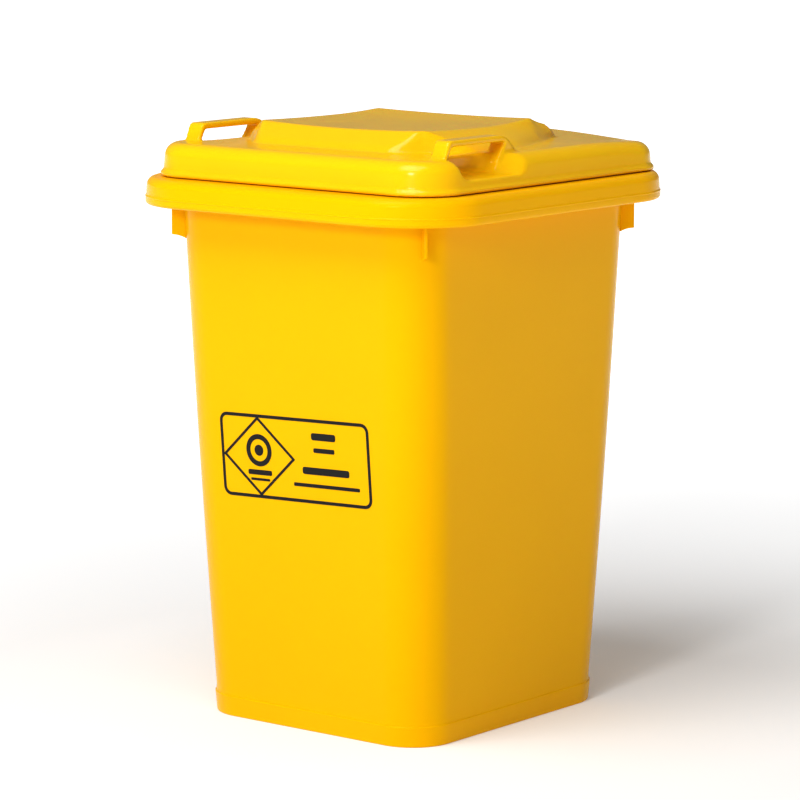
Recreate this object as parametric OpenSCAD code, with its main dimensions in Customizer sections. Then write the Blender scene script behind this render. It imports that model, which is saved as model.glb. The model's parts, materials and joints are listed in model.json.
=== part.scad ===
// Pedal-free lidded waste bin: a tapered tub with a rolled rim, and a lid hinged at the back.
// Millimetres. +X is to the right along the front, +Z is up, the front is at -Y.
// The origin is the middle of the face that the bin stands on.

/* [Tub] */
// Height of the tub up to the underside of the rim
tub_h = 510; // [400:5:620]
// Outside width of the tub just under the rim
tub_top_w = 317; // [260:1:400]
// Outside depth of the tub just under the rim
tub_top_d = 356; // [290:1:440]
// Outside width of the tub at the floor
base_w = 282; // [220:1:300]
// Outside depth of the tub at the floor
base_d = 306; // [240:1:330]
// Radius of the tub's upright corners
tub_r = 45; // [30:1:60]
// Thickness of the tub wall
wall = 3.5; // [2.5:0.1:5]
// Thickness of the tub floor
floor_t = 4; // [3:0.5:6]
// Height of the foot ring below the floor
foot_h = 6; // [3:0.5:10]
// Width of the foot ring
foot_w = 14; // [10:1:20]
// Height of the upright band round the base
band_h = 22; // [12:1:40]

/* [Rim] */
// Reach of the rim past the tub at each side
rim_out_x = 39; // [30:0.5:50]
// Reach of the rim past the tub at the front and the back
rim_out_y = 36.5; // [30:0.5:50]
// Outside height of the rim
rim_h = 27; // [22:0.5:36]
// Corner radius of the rim in plan
rim_r = 82; // [60:1:90]
// Wall of the rim
rim_wall = 3.5; // [2.5:0.1:4.5]
// Round on the rim's top edge
rim_round = 9; // [5:0.5:11]
// Height of the collar that stands inside the lid
collar_h = 12; // [6:0.5:18]
// Space between the collar and the lid's skirt
collar_gap = 4; // [2:0.5:6]
// Reach of the corner fins under the rim
fin_out = 12.5; // [8:0.5:22]
// Depth of the corner fins below the rim
fin_drop = 34; // [15:1:45]
// Direction of the corner fins, in degrees from the X axis
fin_turn = 38; // [30:1:60]
// Thickness of the corner fins
fin_t = 3; // [2:0.5:5]

/* [Lid] */
// Ledge of rim left bare at each side of the lid
ledge_side = 16.5; // [12:0.5:22]
// Ledge of rim left bare in front of the lid
ledge_front = 24.5; // [18:0.5:30]
// Ledge of rim left bare behind the lid
ledge_back = 11; // [10:0.5:16]
// Gap between the rim's top and the lid's lip
lid_gap = 1; // [0.5:0.1:2]
// Height of the lid from its lip to its deck
lid_h = 32; // [28:0.5:44]
// Corner radius of the lid at its lip
lid_r = 49; // [40:1:60]
// Wall of the lid
lid_wall = 3; // [2:0.1:4]
// Height of the lid's flared lip
lip_h = 5; // [3:0.5:7]
// Reach of the lip past the skirt
lip_out = 2.4; // [1:0.1:4]
// Round between the lid's skirt and its deck
lid_round = 12; // [6:0.5:14]

/* [Crown] */
// Height of the raised crown above the deck
crown_h = 21; // [12:0.5:30]
// Height of the steep band at the crown's foot
crown_band = 6; // [3:0.5:8]
// Deck left at each side of the crown's foot
deck_side = 39; // [36:1:48]
// Deck left in front of the crown
deck_front = 60; // [45:1:80]
// Deck left behind the crown
deck_back = 72; // [50:1:90]
// How much narrower the crown's foot is at the back, on each side
crown_taper = 38; // [0:1:50]
// Slope of the crown's side, across
crown_run = 38; // [20:1:45]
// Slope of the crown's front and back, along
crown_run_y = 27; // [15:1:40]

/* [Hand loops] */
// Length of a hand loop along its top
loop_len = 88; // [70:1:110]
// Width of the strap
strap_w = 18; // [12:0.5:22]
// Thickness of the strap
strap_t = 6; // [4:0.5:8]
// Height of the strap's top above the deck
loop_h = 17; // [14:0.5:24]
// Distance from the lid's front lip to the loop's front foot
loop_front = 44; // [40:1:60]
// Distance from the lid's side to the strap
strap_inset = 19; // [17:0.5:24]
// Depth of the finger scoop below the deck
scoop_h = 17; // [8:0.5:20]

/* [Hinges] */
// Distance from the lid's side to the middle of a hinge
hinge_inset = 86; // [75:1:110]
// Distance from the rim's back to the hinge axis
hinge_back = 12; // [11:0.5:20]
// Height of the hinge axis above the rim's top
hinge_up = 4; // [2:0.5:8]
// Diameter of the hinge pins
pin_d = 8; // [6:0.5:10]
// Radial clearance of a pin in its bores
pin_clear = 0.05; // [0.02:0.01:0.1]
// Material round a pin's bore
knuckle_t = 5; // [4:0.5:8]
// Width of the lid's knuckle
knuckle_w = 24; // [16:1:32]
// Thickness of each ear on the tub
ear_t = 6; // [4:0.5:9]
// Gap between a knuckle and an ear
side_gap = 0.4; // [0.2:0.1:0.8]
// Thickness of a pin's head
head_t = 3; // [2:0.5:5]
// Overhang of a pin's head past the shank
head_out = 2.5; // [1.5:0.5:4]

/* [Hidden] */
yellow = [0.99, 0.80, 0.04];
eps = 0.01;
shell_fn = 48;
round_fn = 64;
sides = [-1, 1];

// Heights
rim_top = tub_h + rim_h;
lip_z = rim_top + lid_gap;
deck_z = lip_z + lid_h;
crown_z = deck_z + crown_h;
collar_top = rim_top + collar_h;
floor_z = foot_h + floor_t;

// Plan of the rim and the lid
rim_w = tub_top_w + 2 * rim_out_x;
rim_d = tub_top_d + 2 * rim_out_y;
lid_w = rim_w - 2 * ledge_side;
lid_d = rim_d - ledge_front - ledge_back;
lid_front = ledge_front - rim_d / 2;
lid_back = rim_d / 2 - ledge_back;
lid_y = (lid_front + lid_back) / 2;
skirt_w = lid_w - 2 * lip_out;
skirt_d = lid_d - 2 * lip_out;
skirt_r = lid_r - lip_out;
collar_w = skirt_w - 2 * (lid_wall + collar_gap);
collar_d = skirt_d - 2 * (lid_wall + collar_gap);
collar_r = skirt_r - lid_wall - collar_gap;

// Plan of the crown
crown_front = lid_front + deck_front;
crown_back = lid_back - deck_back;
crown_half = lid_w / 2 - deck_side;
crown_corner = 30;

// Hand loops and scoops
strap_out = lid_w / 2 - strap_inset;
loop_y = lid_front + loop_front;
lean = 8;
ramp = 19;
scoop_floor = deck_z - scoop_h;
scoop_in = strap_out - strap_w - 2;
scoop_y0 = loop_y + strap_t - 2;
scoop_y1 = loop_y + lean + loop_len - strap_t;

// Hinge axis
hinge_x = lid_w / 2 - hinge_inset;
hinge_y = rim_d / 2 + hinge_back;
hinge_z = rim_top + hinge_up;
knuckle_r = pin_d / 2 + knuckle_t;
ear_x = knuckle_w / 2 + side_gap;
bore_r = pin_d / 2 + pin_clear;
pin_len = 2 * (ear_x + ear_t);

// Rounded rectangle in plan, w by d with corner radius r
module plan(w, d, r) {
    square([w - 2 * r, d], center = true);
    square([w, d - 2 * r], center = true);
    for (x = sides, y = sides)
        translate([x * (w / 2 - r), y * (d / 2 - r)])
            circle(r = r, $fn = shell_fn);
}

// Thin slice of a shell, used as a child of hull()
module slice(w, d, r, z, y = 0) {
    translate([0, y, z])
        linear_extrude(height = eps)
            plan(w, d, r);
}

// Upright block with a rounded rectangular plan
module block(w, d, r, z0, z1, y = 0) {
    translate([0, y, z0])
        linear_extrude(height = z1 - z0)
            plan(w, d, r);
}

// Outline in Y and Z, thickened along X from x0 to x1
module side_plate(x0, x1) {
    translate([x0, 0, 0])
        rotate([90, 0, 90])
            linear_extrude(height = x1 - x0)
                children();
}

// Tub: an upright base band, then tapered walls
module tub_outside() {
    block(base_w, base_d, tub_r, 0, band_h);
    hull() {
        slice(base_w, base_d, tub_r, band_h - eps);
        slice(tub_top_w, tub_top_d, tub_r, tub_h);
    }
}

module tub_inside() {
    hull() {
        slice(base_w - 2 * wall, base_d - 2 * wall, tub_r - wall, floor_z);
        slice(tub_top_w - 2 * wall, tub_top_d - 2 * wall, tub_r - wall, tub_h);
    }
}

// Collar: flares from the tub wall and then stands up inside the lid
module collar_outside() {
    hull() {
        slice(tub_top_w, tub_top_d, tub_r, tub_h - eps);
        slice(collar_w, collar_d, collar_r, rim_top - rim_wall, lid_y);
    }
    block(collar_w, collar_d, collar_r, rim_top - rim_wall, collar_top, lid_y);
}

module collar_inside() {
    hull() {
        slice(tub_top_w - 2 * wall, tub_top_d - 2 * wall, tub_r - wall, tub_h - eps);
        slice(collar_w - 2 * wall, collar_d - 2 * wall, collar_r - wall, rim_top - rim_wall, lid_y);
    }
    block(collar_w - 2 * wall, collar_d - 2 * wall, collar_r - wall,
          rim_top - rim_wall - eps, collar_top + 1, lid_y);
}

// Rolled rim: an upside-down channel with a rounded top edge
module rim_outside() {
    hull() {
        slice(rim_w - 6, rim_d - 6, rim_r - 3, tub_h);
        slice(rim_w, rim_d, rim_r, tub_h + 3);
        slice(rim_w - 3, rim_d - 3, rim_r - 1.5, rim_top - rim_round);
        slice(rim_w - 0.8 * rim_round, rim_d - 0.8 * rim_round, rim_r - 0.4 * rim_round,
              rim_top - 0.3 * rim_round);
        slice(rim_w - 2 * rim_round, rim_d - 2 * rim_round, rim_r - rim_round, rim_top - eps);
    }
}

module rim_channel() {
    inset = rim_wall + 3;
    block(rim_w - 2 * inset, rim_d - 2 * inset, rim_r - inset, tub_h - 1, rim_top - rim_wall);
}

// One fin under each corner of the rim, set near the diagonal
module fins() {
    reach = tub_r + fin_out;
    for (x = sides, y = sides)
        translate([x * (tub_top_w / 2 - tub_r), y * (tub_top_d / 2 - tub_r), 0])
            rotate([0, 0, y * (90 - x * (90 - fin_turn))])
                translate([tub_r - wall - 1, -fin_t / 2, tub_h - fin_drop])
                    cube([fin_out + wall + 1, fin_t, fin_drop + rim_h - rim_wall / 2]);
}

// Outline of an ear or a knuckle: a round end on an arm that runs to the bin
module lug_outline(arm_y, arm_low, arm_high) {
    translate([hinge_y, hinge_z])
        circle(r = knuckle_r, $fn = round_fn);
    translate([arm_y, hinge_z + arm_low])
        square([hinge_y - arm_y, arm_high - arm_low]);
}

module pin_bore(x0, x1, r) {
    translate([x0, hinge_y, hinge_z])
        rotate([0, 90, 0])
            cylinder(r = r, h = x1 - x0, $fn = round_fn);
}

// Two pairs of ears behind the rim
module ears() {
    for (s = sides, e = sides)
        translate([s * hinge_x + (e > 0 ? ear_x : -ear_x - ear_t), 0, 0])
            side_plate(0, ear_t)
                lug_outline(rim_d / 2 - rim_wall, -knuckle_r, hinge_up);
}

module bin_body() {
    color(yellow)
    difference() {
        union() {
            difference() {
                rim_outside();
                rim_channel();
            }
            tub_outside();
            collar_outside();
            fins();
            ears();
        }
        tub_inside();
        collar_inside();
        block(base_w - 2 * foot_w, base_d - 2 * foot_w, tub_r - foot_w, -1, foot_h);
        for (s = sides)
            pin_bore(s * hinge_x - pin_len, s * hinge_x + pin_len, bore_r);
    }
}

// Lid shell: a flared lip, an upright skirt, a rounded edge and a flat deck
module lid_outside() {
    block(lid_w, lid_d, lid_r, lip_z, lip_z + lip_h, lid_y);
    hull() {
        slice(skirt_w, skirt_d, skirt_r, lip_z + lip_h - eps, lid_y);
        slice(skirt_w - 2, skirt_d - 2, skirt_r - 1, deck_z - lid_round, lid_y);
        for (a = [30, 60, 90])
            slice(skirt_w - 2 - 2 * lid_round * (1 - cos(a)), skirt_d - 2 - 2 * lid_round * (1 - cos(a)),
                  skirt_r - 1 - lid_round * (1 - cos(a)), deck_z - lid_round * (1 - sin(a)) - eps, lid_y);
    }
}

module lid_inside() {
    block(skirt_w - 2 * lid_wall, skirt_d - 2 * lid_wall, skirt_r - lid_wall,
          lip_z - 1, deck_z - lid_round, lid_y);
    block(skirt_w - 2 * lid_round, skirt_d - 2 * lid_round, skirt_r - lid_round,
          deck_z - lid_round - eps, deck_z - lid_wall, lid_y);
}

// Plan of the crown, grown by g and drawn in by run across and run_y along
module crown_plan(g, run, run_y) {
    r = crown_corner - run / 2;
    for (s = sides) {
        translate([s * (crown_half - run - r + g), crown_front + run_y + r - g])
            circle(r = r, $fn = 32);
        translate([s * (crown_half - crown_taper - max(run - crown_taper + 12, 4) - r + g),
                   crown_back - run_y - r + g])
            circle(r = r, $fn = 32);
    }
}

// Crown: a steep band at the foot and a long slope above it; g is 0 outside, minus the wall inside
module crown(g, low) {
    hull() {
        translate([0, 0, low])
            linear_extrude(height = eps)
                crown_plan(g, 0, 0);
        translate([0, 0, deck_z + crown_band + g])
            linear_extrude(height = eps)
                crown_plan(g, 3, 3);
        translate([0, 0, crown_z + g - eps])
            linear_extrude(height = eps)
                crown_plan(g, crown_run, crown_run_y);
    }
}

// Strap of a hand loop, in Y and Z, its feet sunk half way into the deck
module strap_outline() {
    top = deck_z + loop_h;
    foot = deck_z - lid_wall / 2;
    polygon([
        [loop_y, foot],
        [loop_y + lean, top],
        [loop_y + lean + loop_len, top],
        [loop_y + lean + loop_len + ramp, foot],
        [scoop_y1, foot],
        [loop_y + lean + loop_len - strap_t, top - strap_t],
        [loop_y + lean + strap_t, top - strap_t],
        [loop_y + strap_t, foot],
    ]);
}

// Finger scoop under a strap, in Y and Z, grown by g
module scoop_outline(g) {
    polygon([
        [scoop_y0 - g, deck_z + 2],
        [scoop_y1 + g, deck_z + 2],
        [scoop_y1 - 8 + g, scoop_floor - g],
        [scoop_y0 + 8 - g, scoop_floor - g],
    ]);
}

module scoops(g) {
    for (s = sides)
        side_plate(s > 0 ? scoop_in - g : -lid_w, s > 0 ? lid_w : -scoop_in + g)
            scoop_outline(g);
}

// Knuckles on the back of the skirt
module knuckles() {
    for (s = sides)
        translate([s * hinge_x - knuckle_w / 2, 0, 0])
            side_plate(0, knuckle_w)
                lug_outline(lid_back - lip_out - lid_wall, 0, knuckle_r);
}

module lid() {
    color(yellow)
    difference() {
        union() {
            difference() {
                union() {
                    lid_outside();
                    crown(0, deck_z - lid_wall);
                }
                difference() {
                    lid_inside();
                    scoops(lid_wall);
                }
                difference() {
                    crown(-lid_wall, deck_z - lid_wall - 1);
                    scoops(lid_wall);
                }
                scoops(0);
            }
            for (s = sides)
                side_plate(s > 0 ? strap_out - strap_w : -strap_out, s > 0 ? strap_out : -strap_out + strap_w)
                    strap_outline();
            knuckles();
        }
        for (s = sides)
            pin_bore(s * hinge_x - pin_len / 2, s * hinge_x + pin_len / 2, bore_r);
    }
}

// Hinge pin: a shank with a head outside and a barbed end inside
module hinge_pin(s) {
    head_x = ear_x + ear_t + side_gap / 2;
    color(yellow)
    translate([s * hinge_x, hinge_y, hinge_z])
        rotate([0, s * 90, 0]) {
            translate([0, 0, -head_x - 4])
                cylinder(r = pin_d / 2, h = 2 * head_x + 4, $fn = round_fn);
            translate([0, 0, head_x])
                cylinder(r = pin_d / 2 + head_out, h = head_t, $fn = round_fn);
            translate([0, 0, -head_x - 2])
                cylinder(r = pin_d / 2 + 0.8, h = 2, $fn = round_fn);
        }
}

module hinge_pin_left() {
    hinge_pin(-1);
}

module hinge_pin_right() {
    hinge_pin(1);
}

bin_body();
lid();
hinge_pin_left();
hinge_pin_right();
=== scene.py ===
import json
import math

import bpy
import numpy as np
from mathutils import Matrix, Vector


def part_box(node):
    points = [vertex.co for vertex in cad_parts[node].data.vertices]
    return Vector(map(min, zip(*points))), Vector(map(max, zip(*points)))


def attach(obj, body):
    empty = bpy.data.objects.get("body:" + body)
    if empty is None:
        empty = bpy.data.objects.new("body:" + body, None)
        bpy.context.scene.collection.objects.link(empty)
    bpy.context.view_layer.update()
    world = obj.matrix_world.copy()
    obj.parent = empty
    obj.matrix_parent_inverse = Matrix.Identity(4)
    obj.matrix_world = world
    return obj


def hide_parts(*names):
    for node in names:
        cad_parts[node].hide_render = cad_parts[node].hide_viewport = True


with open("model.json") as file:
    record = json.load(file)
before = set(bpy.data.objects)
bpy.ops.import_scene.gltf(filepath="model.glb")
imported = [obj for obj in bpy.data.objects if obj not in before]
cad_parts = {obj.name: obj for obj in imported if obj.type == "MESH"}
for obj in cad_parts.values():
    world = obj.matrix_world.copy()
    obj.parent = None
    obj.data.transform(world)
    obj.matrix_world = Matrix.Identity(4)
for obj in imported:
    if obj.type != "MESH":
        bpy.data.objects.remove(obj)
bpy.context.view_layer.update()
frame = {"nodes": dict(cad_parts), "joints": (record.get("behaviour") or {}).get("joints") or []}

# ---------------------------------------------------------------- tub
# The tub is one injection moulding in yellow polyethylene: a foot ring, tapered walls, a rolled rim
# that hangs outside them like an upside-down channel, and a collar that stands up inside the lid.
# It is lofted here as one closed skin, from the middle of the underside, over the rim, to the floor.
mm = 0.001
yellow = (0.93, 0.48, 0.001, 1)

body_low, body_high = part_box("bin_body")
hinge = Vector(frame["joints"][0]["pos_m"])
rim_half_w = body_high.x
rim_half_d = -body_low.y
rim_top = hinge.z - 4 * mm
collar_top = rim_top + 12 * mm
rim_low = rim_top - 27 * mm
rim_r = 82 * mm
foot_half_w, foot_half_d, tub_r = 141 * mm, 153 * mm, 45 * mm
neck_half_w, neck_half_d = 158.5 * mm, 178 * mm
collar_half_w, collar_half_d, collar_r, collar_y = 171.6 * mm, 187.35 * mm, 39.6 * mm, 6.75 * mm
tub_wall = 3.5 * mm
band_top = 21 * mm
tub_floor = 10 * mm
wall_bow = 1.3 * mm
ARC_STEPS = 20
STRAIGHT_SHARES = (0.015, 0.08, 0.2, 0.35, 0.5, 0.65, 0.8, 0.92, 0.985)

FOOT = (foot_half_w, foot_half_d, tub_r, 0)
NECK = (neck_half_w, neck_half_d, tub_r, 0)
RIM = (rim_half_w, rim_half_d, rim_r, 0)
COLLAR = (collar_half_w, collar_half_d, collar_r, collar_y)


def ring(plan, out, z):
    """Points of a rounded rectangle at height z, grown by out, anticlockwise from above."""
    half_w, half_d, r, y = plan
    half_w, half_d, r = half_w + out, half_d + out, max(r + out, 1 * mm)
    corners = []
    for quarter in range(4):
        turn = np.linspace(quarter, quarter + 1, ARC_STEPS + 1) * math.pi / 2
        side_x = 1 if quarter in (0, 3) else -1
        side_y = 1 if quarter in (0, 1) else -1
        corners.append(np.stack([side_x * (half_w - r) + r * np.cos(turn),
                                 side_y * (half_d - r) + r * np.sin(turn) + y,
                                 np.full(len(turn), z)], 1))
    points = []
    for here, after in zip(corners, corners[1:] + corners[:1]):
        points.append(here)
        points.append(np.array([here[-1] + (after[0] - here[-1]) * s for s in STRAIGHT_SHARES]))
    return np.concatenate(points)


def between(plan_a, plan_b, share):
    return tuple(a + (b - a) * share for a, b in zip(plan_a, plan_b))


def turned_edge(plan, out, z, r, start, end, steps=6):
    """Rings round a moulded edge of radius r, whose centre is at (out, z) in section, in degrees."""
    angles = [math.radians(start + (end - start) * i / steps) for i in range(steps + 1)]
    return [ring(plan, out + r * math.cos(a), z + r * math.sin(a)) for a in angles]


def wall_rings(low_plan, high_plan, low_z, high_z, out):
    """Rings up a tapered wall that bows outwards a little halfway up."""
    shares = (0.006, 0.03, 0.1, 0.25, 0.4, 0.55, 0.7, 0.85, 0.95, 0.99)
    return [ring(between(low_plan, high_plan, s), out + wall_bow * math.sin(math.pi * s),
                 low_z + (high_z - low_z) * s) for s in shares]


def tub_skin():
    wall_low = band_top + 1.5 * mm
    rim_under = rim_top - tub_wall
    skin = [ring(FOOT, -foot_half_w * 0.9, 6 * mm), ring(FOOT, -60 * mm, 6 * mm)]
    skin += turned_edge(FOOT, -16 * mm, 4 * mm, 2 * mm, 90, 0)
    skin += turned_edge(FOOT, -12.5 * mm, 1.5 * mm, 1.5 * mm, 180, 270)
    skin += turned_edge(FOOT, -2 * mm, 2 * mm, 2 * mm, 270, 360)
    skin += [ring(FOOT, 0.2 * mm, 4 * mm), ring(FOOT, 1.5 * mm, band_top - 2.5 * mm)]
    skin += turned_edge(FOOT, 0.4 * mm, band_top - 1.2 * mm, 1.2 * mm, 0, 80)
    skin += wall_rings(FOOT, NECK, wall_low, rim_low, 0)
    skin += [ring(NECK, 0, rim_low), ring(NECK, 0.3 * mm, rim_under - 5 * mm)]
    skin += turned_edge(NECK, 4.3 * mm, rim_under - 4 * mm, 4 * mm, 180, 90)
    skin += turned_edge(RIM, -9.5 * mm, rim_under - 3 * mm, 3 * mm, 90, 0)
    skin += [ring(RIM, -6.6 * mm, rim_low + 4 * mm)]
    skin += turned_edge(RIM, -5.4 * mm, rim_low + 1.2 * mm, 1.2 * mm, 180, 270)
    skin += turned_edge(RIM, -3.6 * mm, rim_low + 3.6 * mm, 3.6 * mm, 270, 360)
    bead_z = rim_low + 8.2 * mm
    skin += [ring(RIM, -0.1 * mm, bead_z - 1.6 * mm), ring(RIM, -0.2 * mm, bead_z - 1.1 * mm)]
    skin += turned_edge(RIM, -0.75 * mm, bead_z, 0.9 * mm, -50, 50, 4)
    skin += [ring(RIM, -0.7 * mm, bead_z + 1.1 * mm), ring(RIM, -0.8 * mm, bead_z + 1.8 * mm)]
    skin += turned_edge(RIM, -9.9 * mm, rim_top - 8.5 * mm, 8.5 * mm, 4, 90, 10)
    skin += [ring(RIM, -12 * mm, rim_top)]
    skin += turned_edge(COLLAR, 2.5 * mm, rim_top + 2.5 * mm, 2.5 * mm, 270, 180)
    skin += [ring(COLLAR, 0, collar_top - 3 * mm)]
    half = tub_wall / 2
    skin += turned_edge(COLLAR, -half, collar_top - half, half, 0, 180, 8)
    skin += [ring(COLLAR, -tub_wall, collar_top - 3 * mm), ring(COLLAR, -tub_wall, rim_under + 2 * mm)]
    flare = between(COLLAR, NECK, 0.06)
    skin += [ring(COLLAR, -tub_wall, rim_under), ring(flare, -tub_wall, rim_under - 1.5 * mm)]
    skin += [ring(between(NECK, COLLAR, 0.05), -tub_wall, rim_low + 1.5 * mm), ring(NECK, -tub_wall, rim_low)]
    skin += wall_rings(FOOT, NECK, tub_floor + 12 * mm, rim_low, -tub_wall)[::-1]
    skin += turned_edge(FOOT, -tub_wall - 12 * mm, tub_floor + 12 * mm, 12 * mm, 0, -90)
    skin += [ring(FOOT, -60 * mm, tub_floor), ring(FOOT, -foot_half_w * 0.9, tub_floor)]
    return skin


def mesh_piece(name, points, faces, smooth=True):
    mesh = bpy.data.meshes.new(name)
    mesh.from_pydata([tuple(p) for p in points], [], [tuple(f) for f in faces])
    mesh.validate()
    mesh.polygons.foreach_set("use_smooth", [smooth] * len(mesh.polygons))
    piece = bpy.data.objects.new(name, mesh)
    bpy.context.scene.collection.objects.link(piece)
    return piece


def lofted(name, rings):
    """A closed skin through rings of equal length, with a flat cap on the first and the last."""
    count = len(rings[0])
    faces = [tuple(range(count))[::-1]]
    for level in range(len(rings) - 1):
        low, high = level * count, (level + 1) * count
        for i in range(count):
            j = (i + 1) % count
            faces.append((low + i, low + j, high + j, high + i))
    faces.append(tuple(range((len(rings) - 1) * count, len(rings) * count)))
    return mesh_piece(name, np.concatenate(rings), faces)


def moulded_skin_group():
    """Shader group for a moulded surface: slow colour drift, fine grain, and faint rubbed patches."""
    group = bpy.data.node_groups.new("moulded_skin", "ShaderNodeTree")
    for name, kind, value in (("Color", "NodeSocketColor", yellow), ("Drift", "NodeSocketFloat", 0.05),
                              ("Roughness", "NodeSocketFloat", 0.3), ("Rub", "NodeSocketFloat", 0.08),
                              ("Grain", "NodeSocketFloat", 0.08)):
        group.interface.new_socket(name, in_out="INPUT", socket_type=kind).default_value = value
    for name, kind in (("Color", "NodeSocketColor"), ("Roughness", "NodeSocketFloat"),
                       ("Normal", "NodeSocketVector")):
        group.interface.new_socket(name, in_out="OUTPUT", socket_type=kind)
    add, link = group.nodes.new, group.links.new
    given, result = add("NodeGroupInput"), add("NodeGroupOutput")
    place = add("ShaderNodeTexCoord").outputs["Object"]

    def noise(scale, detail, source=place):
        node = add("ShaderNodeTexNoise")
        node.inputs["Scale"].default_value = scale
        node.inputs["Detail"].default_value = detail
        link(source, node.inputs["Vector"])
        return node.outputs["Fac"]

    def math_node(kind, a, b):
        node = add("ShaderNodeMath")
        node.operation = kind
        for socket, value in zip(node.inputs, (a, b)):
            if isinstance(value, (int, float)):
                socket.default_value = value
            else:
                link(value, socket)
        return node.outputs[0]

    drift = math_node("MULTIPLY", math_node("SUBTRACT", noise(7, 3), 0.5), given.outputs["Drift"])
    tint = add("ShaderNodeHueSaturation")
    link(given.outputs["Color"], tint.inputs["Color"])
    link(math_node("ADD", drift, 1), tint.inputs["Value"])
    link(tint.outputs["Color"], result.inputs["Color"])

    stretch = add("ShaderNodeMapping")
    stretch.inputs["Scale"].default_value = (1, 1, 0.25)
    link(place, stretch.inputs["Vector"])
    rubbed = add("ShaderNodeMapRange")
    rubbed.inputs["From Min"].default_value = 0.52
    rubbed.inputs["From Max"].default_value = 0.72
    link(noise(26, 6, stretch.outputs["Vector"]), rubbed.inputs["Value"])
    rough = math_node("MULTIPLY", rubbed.outputs["Result"], given.outputs["Rub"])
    link(math_node("ADD", given.outputs["Roughness"], rough), result.inputs["Roughness"])

    relief = add("ShaderNodeBump")
    relief.inputs["Distance"].default_value = 0.2 * mm
    link(given.outputs["Grain"], relief.inputs["Strength"])
    link(math_node("ADD", noise(420, 2), math_node("MULTIPLY", noise(45, 2), 3)), relief.inputs["Height"])
    link(relief.outputs["Normal"], result.inputs["Normal"])
    return group


moulded_skin = moulded_skin_group()


def moulded_plastic(name, color, roughness, gloss=0.22, tint=(1, 1, 1, 1), rub=0.03, grain=0.08):
    """Glossy polyethylene as it leaves the mould."""
    material = bpy.data.materials.new(name)
    material.use_nodes = True
    nodes, links = material.node_tree.nodes, material.node_tree.links
    surface = nodes["Principled BSDF"]
    surface.inputs["Specular IOR Level"].default_value = gloss
    surface.inputs["Specular Tint"].default_value = tint
    surface.inputs["IOR"].default_value = 1.5
    surface.inputs["Subsurface Weight"].default_value = 0.15
    surface.inputs["Subsurface Radius"].default_value = (1, 0.5, 0.05)
    surface.inputs["Subsurface Scale"].default_value = 5 * mm
    skin = nodes.new("ShaderNodeGroup")
    skin.node_tree = moulded_skin
    skin.inputs["Color"].default_value = color
    skin.inputs["Roughness"].default_value = roughness
    skin.inputs["Rub"].default_value = rub
    skin.inputs["Grain"].default_value = grain
    links.new(skin.outputs["Color"], surface.inputs["Base Color"])
    links.new(skin.outputs["Roughness"], surface.inputs["Roughness"])
    links.new(skin.outputs["Normal"], surface.inputs["Normal"])
    return material


tub_plastic = moulded_plastic("tub_plastic", yellow, 0.24, gloss=0.14, tint=(1, 0.8, 0.15, 1))
tub_shell = lofted("tub_shell", tub_skin())
tub_shell.data.materials.append(tub_plastic)
even = tub_shell.modifiers.new("even_normals", "WEIGHTED_NORMAL")
even.weight = 80
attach(tub_shell, "tub")
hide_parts("bin_body")

# ---------------------------------------------------------------- corner fins
# Four thin plates stand near the diagonals under the corners of the rim and stop stacked tubs
# jamming. They are part of the tub moulding: each runs into its wall and the rim, on a curved foot.
fin_t = 3 * mm
fin_reach = 12.5 * mm
fin_drop = 31 * mm
fin_foot = 4 * mm
fin_turn = math.radians(38)


def prism(name, outline, axis, low, high):
    """A closed plate whose outline lies across one axis (0, 1 or 2), from low to high along it."""
    count = len(outline)
    points = [tuple(np.insert(point, axis, level)) for level in (low, high) for point in outline]
    faces = [tuple(range(count))[::-1], tuple(range(count, 2 * count))]
    faces += [(i, (i + 1) % count, count + (i + 1) % count, count + i) for i in range(count)]
    return mesh_piece(name, points, faces, smooth=False)


def fin_outline():
    """One fin across its thickness: its foot drops in a curve towards the wall."""
    inner, outer = tub_r - tub_wall / 2, tub_r + fin_reach
    low, high = rim_low - fin_drop, rim_top - tub_wall / 2
    foot = [(outer - (outer - inner) * s, low - fin_foot * s ** 2) for s in np.linspace(0, 1, 9)]
    return [(inner, high)] + foot[::-1] + [(outer, high)]


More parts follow.
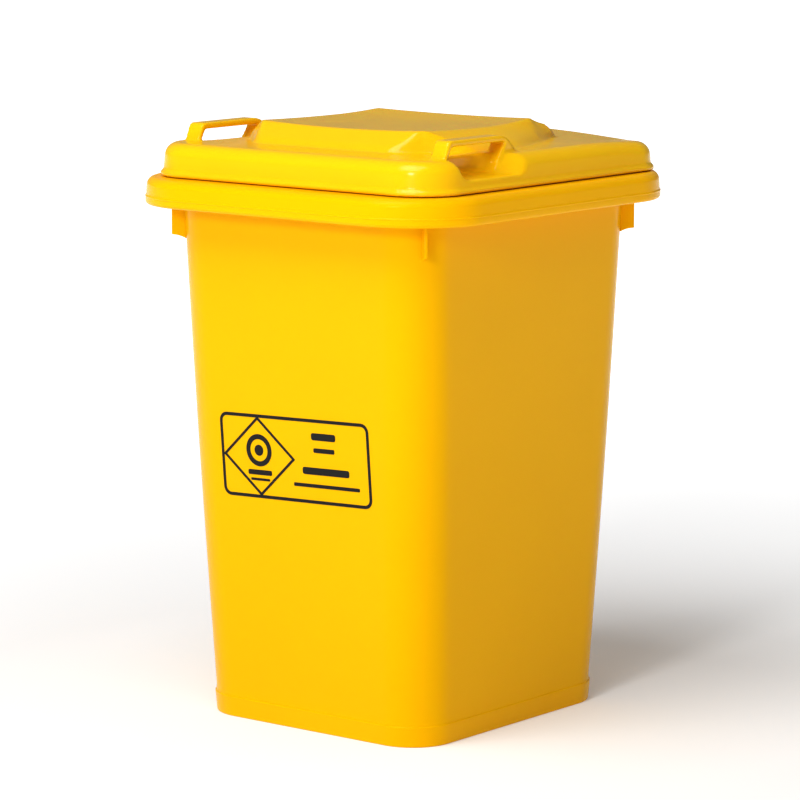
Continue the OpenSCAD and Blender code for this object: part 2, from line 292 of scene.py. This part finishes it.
def corners_tree():
    """Copies of a piece at the four corners of a rectangle, each facing out of its corner."""
    tree = bpy.data.node_groups.new("copies_on_corners", "GeometryNodeTree")
    tree.interface.new_socket("Geometry", in_out="INPUT", socket_type="NodeSocketGeometry")
    for name, kind in (("Piece", "NodeSocketObject"), ("Across", "NodeSocketFloat"),
                       ("Along", "NodeSocketFloat"), ("Facing", "NodeSocketVector"),
                       ("Plastic", "NodeSocketMaterial")):
        tree.interface.new_socket(name, in_out="INPUT", socket_type=kind)
    tree.interface.new_socket("Geometry", in_out="OUTPUT", socket_type="NodeSocketGeometry")
    add, link = tree.nodes.new, tree.links.new
    given, result = add("NodeGroupInput"), add("NodeGroupOutput")
    corners = add("GeometryNodeMeshGrid")
    corners.inputs["Vertices X"].default_value = 2
    corners.inputs["Vertices Y"].default_value = 2
    link(given.outputs["Across"], corners.inputs["Size X"])
    link(given.outputs["Along"], corners.inputs["Size Y"])
    piece = add("GeometryNodeObjectInfo")
    link(given.outputs["Piece"], piece.inputs["Object"])
    place = add("GeometryNodeInputPosition")
    sign = add("ShaderNodeVectorMath")
    sign.operation = "SIGN"
    link(place.outputs["Position"], sign.inputs[0])
    facing = add("ShaderNodeVectorMath")
    facing.operation = "MULTIPLY"
    link(sign.outputs["Vector"], facing.inputs[0])
    link(given.outputs["Facing"], facing.inputs[1])
    turn = add("FunctionNodeAlignRotationToVector")
    turn.axis = "X"
    link(facing.outputs["Vector"], turn.inputs["Vector"])
    copies = add("GeometryNodeInstanceOnPoints")
    link(corners.outputs["Mesh"], copies.inputs["Points"])
    link(piece.outputs["Geometry"], copies.inputs["Instance"])
    link(turn.outputs["Rotation"], copies.inputs["Rotation"])
    real = add("GeometryNodeRealizeInstances")
    link(copies.outputs["Instances"], real.inputs["Geometry"])
    paint = add("GeometryNodeSetMaterial")
    link(real.outputs["Geometry"], paint.inputs["Geometry"])
    link(given.outputs["Plastic"], paint.inputs["Material"])
    link(paint.outputs["Geometry"], result.inputs["Geometry"])
    return tree


def grown_from(name, tree, values, bevel=0):
    """The plain mesh that a Geometry Nodes tree makes from its named inputs, with softened edges."""
    maker = mesh_piece(name + "_maker", [], [])
    modifier = maker.modifiers.new("made_by", "NODES")
    modifier.node_group = tree
    for socket in tree.interface.items_tree:
        if socket.in_out == "INPUT" and socket.name in values:
            modifier[socket.identifier] = values[socket.name]
    if bevel:
        soften = maker.modifiers.new("soft_edges", "BEVEL")
        soften.width, soften.segments, soften.limit_method = bevel, 2, "ANGLE"
    evaluated = maker.evaluated_get(bpy.context.evaluated_depsgraph_get())
    mesh = bpy.data.meshes.new_from_object(evaluated)
    mesh.name = name
    bpy.data.objects.remove(maker)
    piece = bpy.data.objects.new(name, mesh)
    bpy.context.scene.collection.objects.link(piece)
    return piece


one_fin = prism("one_fin", fin_outline(), 1, -fin_t / 2, fin_t / 2)
fins = grown_from("corner_fins", corners_tree(), {
    "Piece": one_fin,
    "Across": 2 * (neck_half_w - tub_r),
    "Along": 2 * (neck_half_d - tub_r),
    "Facing": (math.cos(fin_turn), math.sin(fin_turn), 0),
    "Plastic": tub_plastic,
}, bevel=0.7 * mm)
bpy.data.objects.remove(one_fin)
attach(fins, "tub")
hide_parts("bin_body")

# ---------------------------------------------------------------- hinge ears
# Two pairs of ears stand behind the rim and hold the hinge pins. They are moulded with the tub, with
# a web between each pair, and each ear has a round end about the pin.
ear_t = 6 * mm
ear_gap = 24.8 * mm
ear_r = 9 * mm
bore_r = 4.05 * mm
hinge_x = 95 * mm


def ear_outline():
    """Round end and arm of an ear in Y and Z, anticlockwise seen from +X."""
    root_y = rim_half_d - 3.5 * mm
    turn = np.radians(np.linspace(-90, 120, 36))
    points = [(hinge.y + ear_r * math.cos(a), hinge.z + ear_r * math.sin(a)) for a in turn]
    points += [(root_y, hinge.z - 5 * mm), (root_y, rim_low + 4 * mm), (root_y + 5 * mm, rim_low + 4 * mm)]
    return points


def ear_mesh(name):
    """One ear of a pair, drilled for the pin, with its inner face at x = 0."""
    outline = ear_outline()
    count = len(outline)
    bore = [(hinge.y + bore_r * math.cos(a), hinge.z + bore_r * math.sin(a))
            for a in np.radians(np.linspace(0, 360, count, endpoint=False) - 90)]
    points = [(x, y, z) for x in (0, ear_t) for loop in (outline, bore) for y, z in loop]
    faces = []
    for i in range(count):
        j = (i + 1) % count
        out0, in0, out1, in1 = 0, count, 2 * count, 3 * count
        faces += [(out1 + i, out1 + j, in1 + j, in1 + i), (out0 + j, out0 + i, in0 + i, in0 + j),
                  (out0 + i, out0 + j, out1 + j, out1 + i), (in0 + j, in0 + i, in1 + i, in1 + j)]
    return mesh_piece(name, points, faces, smooth=False)


def row_tree():
    """Copies of a piece in a straight row."""
    tree = bpy.data.node_groups.new("copies_in_a_row", "GeometryNodeTree")
    tree.interface.new_socket("Geometry", in_out="INPUT", socket_type="NodeSocketGeometry")
    for name, kind in (("Piece", "NodeSocketObject"), ("Count", "NodeSocketInt"),
                       ("First", "NodeSocketVector"), ("Step", "NodeSocketVector"),
                       ("Pair Step", "NodeSocketVector"), ("Plastic", "NodeSocketMaterial")):
        tree.interface.new_socket(name, in_out="INPUT", socket_type=kind)
    tree.interface.new_socket("Geometry", in_out="OUTPUT", socket_type="NodeSocketGeometry")
    add, link = tree.nodes.new, tree.links.new
    given, result = add("NodeGroupInput"), add("NodeGroupOutput")
    piece = add("GeometryNodeObjectInfo")
    link(given.outputs["Piece"], piece.inputs["Object"])
    pair = add("GeometryNodeMeshLine")
    pair.inputs["Count"].default_value = 2
    link(given.outputs["Pair Step"], pair.inputs["Offset"])
    row = add("GeometryNodeMeshLine")
    link(given.outputs["Count"], row.inputs["Count"])
    link(given.outputs["First"], row.inputs["Start Location"])
    link(given.outputs["Step"], row.inputs["Offset"])
    twos = add("GeometryNodeInstanceOnPoints")
    link(pair.outputs["Mesh"], twos.inputs["Points"])
    link(piece.outputs["Geometry"], twos.inputs["Instance"])
    copies = add("GeometryNodeInstanceOnPoints")
    link(row.outputs["Mesh"], copies.inputs["Points"])
    link(twos.outputs["Instances"], copies.inputs["Instance"])
    real = add("GeometryNodeRealizeInstances")
    link(copies.outputs["Instances"], real.inputs["Geometry"])
    paint = add("GeometryNodeSetMaterial")
    link(real.outputs["Geometry"], paint.inputs["Geometry"])
    link(given.outputs["Plastic"], paint.inputs["Material"])
    link(paint.outputs["Geometry"], result.inputs["Geometry"])
    return tree


one_ear = ear_mesh("one_ear")
ears = grown_from("hinge_ears", row_tree(), {
    "Piece": one_ear,
    "Count": 2,
    "First": (-hinge_x - ear_gap / 2 - ear_t, 0, 0),
    "Step": (2 * hinge_x, 0, 0),
    "Pair Step": (ear_gap + ear_t, 0, 0),
    "Plastic": tub_plastic,
}, bevel=0.8 * mm)
bpy.data.objects.remove(one_ear)
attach(ears, "tub")
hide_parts("bin_body")

# ---------------------------------------------------------------- printed panel
# A panel is printed in black ink on the front wall: a rounded frame, a square on its corner with a
# plain ring and dot, and bars in place of lettering. The ink is a thin film that follows the wall.
ink_t = 0.3 * mm
panel_w, panel_h = 187 * mm, 83 * mm
panel_centre = (-2.5 * mm, 271 * mm)
panel_tilt = math.radians(1.9)
panel_line = 3.2 * mm


def on_front_wall(u, v, proud):
    """A panel point, u across and v up from the panel's middle, laid on the sloping front wall."""
    x = panel_centre[0] + u * math.cos(panel_tilt) - v * math.sin(panel_tilt)
    z = panel_centre[1] + u * math.sin(panel_tilt) + v * math.cos(panel_tilt)
    share = (z - band_top - 1.5 * mm) / (rim_low - band_top - 1.5 * mm)
    depth = foot_half_d + (neck_half_d - foot_half_d) * share + wall_bow * math.sin(math.pi * share)
    return (x, -depth - proud, z)


def ink_strip(outer, inner):
    """A closed film between two outlines of equal length."""
    count = len(outer)
    points = [on_front_wall(u, v, proud) for proud in (-ink_t, ink_t)
              for loop in (outer, inner) for u, v in loop]
    faces = []
    for i in range(count):
        j = (i + 1) % count
        a, b, c, d = i, count + i, 2 * count + i, 3 * count + i
        aj, bj, cj, dj = j, count + j, 2 * count + j, 3 * count + j
        faces += [(c, cj, dj, d), (a, b, bj, aj), (a, aj, cj, c), (b, d, dj, bj)]
    return points, faces


def ink_patch(outline):
    """A closed film that fills one outline."""
    count = len(outline)
    points = [on_front_wall(u, v, proud) for proud in (-ink_t, ink_t) for u, v in outline]
    faces = [tuple(range(count))[::-1], tuple(range(count, 2 * count))]
    faces += [(i, (i + 1) % count, count + (i + 1) % count, count + i) for i in range(count)]
    return points, faces


def outline_loop(half_u, half_v, r, centre=(0, 0), turn=0, steps=6, spread=6):
    """Rounded rectangle in the panel's plane, turned about its middle, with points along its sides."""
    loop = []
    for quarter in range(4):
        side_u = 1 if quarter in (0, 3) else -1
        side_v = 1 if quarter in (0, 1) else -1
        for a in np.linspace(quarter, quarter + 1, steps + 1) * math.pi / 2:
            loop.append((side_u * (half_u - r) + r * math.cos(a), side_v * (half_v - r) + r * math.sin(a)))
    full = []
    for (u0, v0), (u1, v1) in zip(loop, loop[1:] + loop[:1]):
        cuts = spread if math.hypot(u1 - u0, v1 - v0) > 4 * r else 1
        full += [(u0 + (u1 - u0) * k / cuts, v0 + (v1 - v0) * k / cuts) for k in range(cuts)]
    c, s = math.cos(turn), math.sin(turn)
    return [(centre[0] + u * c - v * s, centre[1] + u * s + v * c) for u, v in full]


def diamond_loop(half_u, half_v, centre, spread=8):
    tips = [(half_u, 0), (0, half_v), (-half_u, 0), (0, -half_v)]
    return [(centre[0] + u0 + (u1 - u0) * k / spread, centre[1] + v0 + (v1 - v0) * k / spread)
            for (u0, v0), (u1, v1) in zip(tips, tips[1:] + tips[:1]) for k in range(spread)]


def circle_loop(r, centre, steps=40):
    return [(centre[0] + r * math.cos(a), centre[1] + r * math.sin(a))
            for a in np.linspace(0, 2 * math.pi, steps, endpoint=False)]


def panel_films():
    square = (-45.5 * mm, 0)
    ring_centre = (square[0], square[1] + 6 * mm)
    films = [
        ink_strip(outline_loop(panel_w / 2, panel_h / 2, 9 * mm),
                  outline_loop(panel_w / 2 - panel_line, panel_h / 2 - panel_line, 9 * mm - panel_line)),
        ink_strip(diamond_loop(45.5 * mm, 39.5 * mm, square), diamond_loop(41.5 * mm, 36 * mm, square)),
        ink_strip(circle_loop(16 * mm, ring_centre), circle_loop(11 * mm, ring_centre)),
        ink_patch(circle_loop(5.5 * mm, ring_centre)),
    ]
    bars = ((37, 24.5, 30, 7), (37, 11, 26, 4.5), (38, -9.5, 58, 7), (38, -24, 82, 3.5),
            (-45.5, -16, 30, 5), (-45.5, -23, 24, 2.5))
    for u, v, w, h in bars:
        bar = outline_loop(w * mm / 2, h * mm / 2, h * mm * 0.3, (u * mm, v * mm), steps=4, spread=1)
        films.append(ink_patch(bar))
    return films


def black_ink():
    """Printing ink: dark, a little glossy, worn thin in places."""
    material = bpy.data.materials.new("panel_ink")
    material.use_nodes = True
    nodes, links = material.node_tree.nodes, material.node_tree.links
    surface = nodes["Principled BSDF"]
    surface.inputs["Specular IOR Level"].default_value = 0.2
    skin = nodes.new("ShaderNodeGroup")
    skin.node_tree = moulded_skin
    skin.inputs["Color"].default_value = (0.012, 0.011, 0.01, 1)
    skin.inputs["Roughness"].default_value = 0.42
    skin.inputs["Drift"].default_value = 0.3
    links.new(skin.outputs["Color"], surface.inputs["Base Color"])
    links.new(skin.outputs["Roughness"], surface.inputs["Roughness"])
    return material


panel_points, panel_faces = [], []
for points, faces in panel_films():
    panel_faces += [tuple(i + len(panel_points) for i in face) for face in faces]
    panel_points += points
panel = mesh_piece("printed_panel", panel_points, panel_faces, smooth=False)
panel.data.materials.append(black_ink())
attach(panel, "tub")

# ---------------------------------------------------------------- hinge pins
# Two plastic pins push through the ears and the lid's knuckles; each has a flat head outside and a
# barbed end inside. They are harder and a little darker than the bin.
pin_plastic = moulded_plastic("pin_plastic", (0.8, 0.33, 0.004, 1), 0.38, rub=0.05, grain=0.05)
for pin in ("hinge_pin_left", "hinge_pin_right"):
    node = frame["nodes"][pin]
    node.data.materials.clear()
    node.data.materials.append(pin_plastic)

# ---------------------------------------------------------------- lid
# The lid is one moulding: a flared lip, a skirt, a flat deck with a raised and slightly dished crown,
# a finger scoop under a hand loop on each side, and two knuckles behind for the hinge pins.
# Its solid is written as a distance from every point to the plastic, and its skin is drawn at zero.
lid_low, lid_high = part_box("lid")
lid_half_w = lid_high.x
lid_front = lid_low.y
lid_back = rim_half_d - 11 * mm
lid_half_d = (lid_back - lid_front) / 2
lid_y = (lid_back + lid_front) / 2
lid_r = 49 * mm
lip_z = rim_top + 1 * mm
lip_h = 5 * mm
lip_out = 2.4 * mm
deck_z = 570 * mm
crown_z = lid_high.z
lid_wall = 4 * mm
lid_round = 12 * mm
skirt_draft = 0.1
deck_fall, deck_swell, deck_bend_y = 6 * mm, 1.5 * mm, 60 * mm
crown_front, crown_back = -130 * mm, 131 * mm
crown_foot, crown_half, crown_depth = 142 * mm, 97.6 * mm, 104 * mm
crown_run, corner_run, least_run = 28 * mm, 17 * mm, 10 * mm
crown_corner = 216 * mm
crown_band, crown_dish, crown_rear_lift = 6 * mm, 2.5 * mm, 3.5 * mm
scoop_in = 142 * mm
strap_mid, strap_half = 153 * mm, 9 * mm
strap_top, strap_under = 587 * mm, 581 * mm


def rounded_both(a, b, r):
    """Inside a and inside b, with the edge that they share rounded to r."""
    low = np.minimum(np.maximum(a + r, b + r), 0)
    return low + np.hypot(np.maximum(a + r, 0), np.maximum(b + r, 0)) - r


def joined(a, b, r):
    """Either solid, with a hollow fillet of radius r between them."""
    return -rounded_both(-a, -b, r)


def cut_from(a, b, r):
    """Solid a less solid b, with the cut's edge rounded to r."""
    return rounded_both(a, -b, r)


def soft_min(a, b, k):
    h = np.clip(0.5 + 0.5 * (b - a) / k, 0, 1)
    return b + (a - b) * h - k * h * (1 - h)


def soft_max(a, b, k):
    return -soft_min(-a, -b, k)


def in_plan(x, y, half_w, half_d, r):
    """Distance in plan from a rounded rectangle."""
    out_x, out_y = np.abs(x) - half_w + r, np.abs(y) - half_d + r
    return np.minimum(np.maximum(out_x, out_y), 0) + np.hypot(np.maximum(out_x, 0), np.maximum(out_y, 0)) - r


def deck_height(x, y):
    """Height of the deck, which falls to its rear corners and swells a little behind the crown."""
    side = np.abs(x)
    back_share = np.clip((y - deck_bend_y) / (lid_back - deck_bend_y), 0, 1)
    fall = deck_fall * back_share ** 2 * np.clip(side / (125 * mm), 0, 1.1) ** 2
    return deck_z - fall + deck_swell * back_share * np.clip(1 - side / (110 * mm), 0, 1)


def crown_slopes(side, y):
    """How far down the crown's side, front, back and diagonal corner faces a point is: 1 at the foot."""
    ramp = y - 3 * mm
    taper = 0.18 * (ramp + np.sqrt(ramp ** 2 + (14 * mm) ** 2))
    foot = crown_foot - taper
    run = np.maximum(foot - (crown_half - 0.03 * y), least_run)
    across = 1 - (foot - side) / run
    along = np.maximum(1 - (y - crown_front) / crown_run, 1 - (crown_back - y) / crown_run)
    corner = 1 - (crown_corner - (side - y)) / corner_run
    steep = np.maximum(corner - np.maximum(across, along), (24 * mm - run) / (14 * mm))
    return (across, along, corner), np.clip(steep, 0, 1)


def lid_top(x, y):
    """Height of the lid's upper face: the deck, and the crown with its steeper band and its dish."""
    deck = deck_height(x, y)
    faces, steep = crown_slopes(np.abs(x), y)
    share = 1 - sum(np.maximum(face, 0) ** 4 for face in faces) ** (1 / 4)
    band_share = 0.2 + 0.25 * steep
    rise_all = crown_z + crown_rear_lift * np.clip(y / crown_depth, 0, 1) ** 2 - deck
    slope = crown_band + (share - band_share) / (1 - band_share) * (rise_all - crown_band)
    rise = soft_min(share / band_share * crown_band, slope, 1.2 * mm)
    hollow = crown_dish * (2 - (x / crown_depth) ** 2 - (y / crown_depth) ** 2)
    rise = soft_min(rise, rise_all - np.maximum(hollow, 0), 1.5 * mm)
    return deck + soft_max(np.maximum(rise, -crown_band), 0, 3 * mm)


def finger_scoop(x, y, z):
    """The hollow under each hand loop, open to the side, with a sloping floor and round corners."""
    side = np.abs(x)
    floor = (554 * mm - 0.11 * (side - scoop_in)) - z
    front = (-142 * mm + 0.53 * (568 * mm - z) - y) / 1.13
    flare = 1.7 * np.maximum(side - 161 * mm, 0)
    rear = (y + 59 * mm - 0.66 * (z - 566 * mm) - flare) / np.where(side > 161 * mm, 2.1, 1.2)
    scoop = rounded_both(scoop_in - side, front / 2, 16 * mm)
    return rounded_both(rounded_both(scoop, rear, 19 * mm), floor, 5 * mm)


def lid_solid(x, y, z):
    """The lid before it is hollowed: skirt, deck and crown, less the two finger scoops."""
    lip = np.clip((lip_z + lip_h + 1.5 * mm - z) / (3.5 * mm), 0, 1)
    lip = lip_out * lip ** 2 * (3 - 2 * lip)
    skirt = in_plan(x, y - lid_y, lid_half_w - lip_out, lid_half_d - lip_out, lid_r - lip_out)
    skirt = skirt + skirt_draft * (z - lip_z) - lip
    step = 0.4 * mm
    height = lid_top(x, y)
    lean_x = (lid_top(x + step, y) - lid_top(x - step, y)) / (2 * step)
    lean_y = (lid_top(x, y + step) - lid_top(x, y - step)) / (2 * step)
    top = (z - height) / np.sqrt(1 + lean_x ** 2 + lean_y ** 2)
    return cut_from(rounded_both(skirt, top, lid_round), finger_scoop(x, y, z), 2 * mm)


def hand_loop(x, y, z):
    """A strap on each side that stands over its scoop, on a leaning post and a longer ramp."""
    post = (-146 * mm + 0.42 * (z - 567 * mm) - y) * 0.92
    ramp = (y + 28 * mm + 1.12 * (z - 567 * mm)) * 0.67
    outside = rounded_both(rounded_both(z - strap_top, post, 4 * mm), ramp, 5 * mm)
    post_in = (-141 * mm + 0.5 * (z - 567 * mm) - y) * 0.9
    ramp_in = (y + 60 * mm - 0.7 * (z - 567 * mm)) * 0.82
    hole = rounded_both(rounded_both(z - strap_under, post_in, 3 * mm), ramp_in, 3 * mm)
    strap = np.maximum(np.maximum(outside, -hole), 563 * mm - z)
    return rounded_both(strap, np.abs(np.abs(x) - strap_mid) - strap_half, 1.6 * mm)


def knuckle(x, y, z):
    """A round eye about each hinge pin, on an arm from the skirt."""
    eye = np.hypot(y - hinge.y, z - hinge.z) - ear_r
    arm_mid_y = (lid_back - 5 * mm + hinge.y) / 2
    arm_half_y = (hinge.y - lid_back + 5 * mm) / 2
    arm = np.maximum(np.abs(y - arm_mid_y) - arm_half_y, np.abs(z - hinge.z - ear_r / 2) - ear_r / 2)
    return rounded_both(joined(eye, arm, 1 * mm), np.abs(np.abs(x) - hinge_x) - 12 * mm, 1 * mm)


def lid_distance(x, y, z):
    solid = lid_solid(x, y, z)
    shell = np.maximum(solid, -(solid + lid_wall))
    shell = rounded_both(shell, lip_z - z, 0.8 * mm)
    shell = joined(shell, hand_loop(x, y, z), 2 * mm)
    shell = joined(shell, knuckle(x, y, z), 2 * mm)
    bore = np.hypot(y - hinge.y, z - hinge.z) - bore_r
    return np.maximum(shell, -bore)


def skin_at_zero(distance, low, high, cell):
    """Quads on the surface where distance is zero: one point in each crossed cell, moved on to it."""
    axes = [np.arange(a - 1.5 * c, b + 2.5 * c, c) for a, b, c in zip(low, high, cell)]
    grids = np.meshgrid(*axes, indexing="ij", sparse=True)
    value = np.broadcast_to(distance(*grids), [len(a) for a in axes])
    inside = value < 0
    shape = [n - 1 for n in value.shape]
    total, hits = np.zeros(shape + [3]), np.zeros(shape)
    quads, crossings = [], []
    for axis in range(3):
        here = [slice(None)] * 3
        there = [slice(None)] * 3
        here[axis], there[axis] = slice(0, -1), slice(1, None)
        a, b = value[tuple(here)], value[tuple(there)]
        crossed = inside[tuple(here)] != inside[tuple(there)]
        share = np.where(crossed, a / np.where(crossed, a - b, 1), 0)
        crossings.append((crossed, inside[tuple(here)]))
        others = [k for k in range(3) if k != axis]
        for da in (0, 1):
            for db in (0, 1):
                window = [slice(0, n) for n in shape]
                for k, d in zip(others, (da, db)):
                    window[k] = slice(d, d + shape[k])
                hit = crossed[tuple(window)]
                hits += hit
                total[..., axis] += np.where(hit, share[tuple(window)], 0)
                total[..., others[0]] += hit * da
                total[..., others[1]] += hit * db
    used = hits > 0
    number = np.full(shape, -1)
    number[used] = np.arange(used.sum())
    cells = np.argwhere(used)
    origin = np.array([a[0] for a in axes])
    points = origin + (cells + total[used] / hits[used][:, None]) * np.array(cell)
    for axis in range(3):
        crossed, starts_inside = crossings[axis]
        others = [k for k in range(3) if k != axis]
        trimmed = [slice(None)] * 3
        for k in others:
            trimmed[k] = slice(1, -1)
        where = np.argwhere(crossed[tuple(trimmed)])
        flip = starts_inside[tuple(trimmed)][tuple(where.T)]
        steps = ((0, 0), (1, 0), (1, 1), (0, 1))
        loop = []
        for du, dv in steps:
            cell_at = where.copy()
            cell_at[:, others[0]] += du
            cell_at[:, others[1]] += dv
            loop.append(number[tuple(cell_at.T)])
        quad = np.stack(loop, 1)
        turn_back = flip if axis == 1 else ~flip
        quad[turn_back] = quad[turn_back][:, ::-1]
        quads.append(quad)
    quads = np.concatenate(quads)
    points = settled(points, distance, cell)
    for _ in range(3):
        points = settled(evened(points, quads), distance, cell, 2)
    for _ in range(4):
        folded = np.unique(quads[turned_away(points, quads, distance)])
        points[folded] = evened(points, quads)[folded]
    return points, quads


def turned_away(points, quads, distance):
    """Quads that face well away from the distance's slope, where the skin has folded."""
    corners = points[quads]
    facing = np.cross(corners[:, 2] - corners[:, 0], corners[:, 3] - corners[:, 1])
    slope = slope_of(distance, corners.mean(1))
    along = (facing * slope).sum(1)
    return along < 0.4 * np.linalg.norm(facing, axis=1) * np.linalg.norm(slope, axis=1)


def slope_of(distance, points, step=0.15 * mm):
    return np.stack([(distance(*(points + d).T) - distance(*(points - d).T)) / (2 * step)
                     for d in np.eye(3) * step], 1)


def evened(points, quads):
    """Points drawn halfway to the middle of the quads about them, which evens the skin out."""
    middle = points[quads].mean(1)
    corners = quads.ravel()
    counts = np.bincount(corners, minlength=len(points))
    total = np.stack([np.bincount(corners, np.repeat(middle[:, k], 4), len(points)) for k in range(3)], 1)
    return (points + total / counts[:, None]) / 2


def settled(points, distance, cell, rounds=4):
    """Moves points along the distance's own slope until they lie on the surface."""
    limit = 0.4 * min(cell)
    for _ in range(rounds):
        slope = slope_of(distance, points)
        move = distance(*points.T)[:, None] * slope / np.maximum((slope ** 2).sum(1), 0.3)[:, None]
        points = points - np.clip(move, -limit, limit)
    return points


lid_cell = (2.2 * mm, 2.2 * mm, 1.8 * mm)
lid_points, lid_quads = skin_at_zero(lid_distance, lid_low, lid_high, lid_cell)
lid_shell = mesh_piece("lid_shell", lid_points, lid_quads.tolist())
# The lid's plastic is a lighter, greener copy of the tub's yellow. The difference is painted light that
# brightens the lid's upward faces.
lid_shell.data.materials.append(moulded_plastic("lid_plastic", (0.93, 0.53, 0.003, 1), 0.2, gloss=0.26))
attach(lid_shell, "lid")
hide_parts("lid")

# ---------------------------------------------------------------- floor, light and camera
# A plain pale floor that glows a little away from the bin, a small low softbox and a large high one
# in front, a faint fill all round, and a camera to the right of the front, a little above the lid.
reach = 30
floor_corners = [(-reach, -reach, 0), (reach, -reach, 0), (reach, reach, 0), (-reach, reach, 0)]
floor = mesh_piece("floor", floor_corners, [(0, 1, 2, 3)], smooth=False)
floor_paint = bpy.data.materials.new("floor_paint")
floor_paint.use_nodes = True
floor_surface = floor_paint.node_tree.nodes["Principled BSDF"]
floor_surface.inputs["Base Color"].default_value = (0.9, 0.9, 0.9, 1)
floor_surface.inputs["Roughness"].default_value = 0.9
floor_surface.inputs["Specular IOR Level"].default_value = 0.1
floor_surface.inputs["Emission Color"].default_value = (1, 1, 1, 1)
floor_nodes, floor_links = floor_paint.node_tree.nodes, floor_paint.node_tree.links
from_bin = floor_nodes.new("ShaderNodeVectorMath")
from_bin.operation = "LENGTH"
floor_links.new(floor_nodes.new("ShaderNodeTexCoord").outputs["Object"], from_bin.inputs[0])
glow = floor_nodes.new("ShaderNodeMapRange")
glow.inputs["From Min"].default_value, glow.inputs["From Max"].default_value = 0.5, 2.5
glow.inputs["To Min"].default_value, glow.inputs["To Max"].default_value = 0.12, 0.85
floor_links.new(from_bin.outputs["Value"], glow.inputs["Value"])
floor_links.new(glow.outputs["Result"], floor_surface.inputs["Emission Strength"])
floor.data.materials.append(floor_paint)


def softbox(name, swing, rise, distance, size, power):
    """A square light that faces the bin; swing is from the front towards the right, in degrees."""
    lamp = bpy.data.lights.new(name, "AREA")
    lamp.shape, lamp.size, lamp.energy = "SQUARE", size, power
    piece = bpy.data.objects.new(name, lamp)
    turn = Matrix.Rotation(math.radians(swing), 4, "Z") @ Matrix.Rotation(math.radians(90 - rise), 4, "X")
    piece.matrix_world = Matrix.Translation((0, 0, 0.35)) @ turn @ Matrix.Translation((0, 0, distance))
    bpy.context.scene.collection.objects.link(piece)


softbox("front_softbox", swing=13, rise=20, distance=3.2, size=0.5, power=26)
softbox("high_softbox", swing=0, rise=60, distance=3.2, size=2.2, power=74)

world = bpy.data.worlds.new("studio")
bpy.context.scene.world = world
world.use_nodes = True
world.node_tree.nodes["Background"].inputs["Color"].default_value = (1, 1, 1, 1)
world.node_tree.nodes["Background"].inputs["Strength"].default_value = 0.2
bpy.context.scene.view_settings.view_transform = "Standard"
bpy.context.scene.view_settings.look = "Medium High Contrast"

lens = bpy.data.cameras.new("camera")
lens.lens, lens.sensor_width, lens.clip_start, lens.clip_end = 176.6, 36, 0.1, 100
camera = bpy.data.objects.new("camera", lens)
stand = (Matrix.Rotation(math.radians(38.41), 4, "Z") @ Matrix.Rotation(math.radians(90 - 8.96), 4, "X")
         @ Matrix.Rotation(math.radians(0.13), 4, "Z"))
camera.matrix_world = stand @ Matrix.Translation((-0.0038, 0.3056, 3.9641))
bpy.context.scene.collection.objects.link(camera)
bpy.context.scene.camera = camera
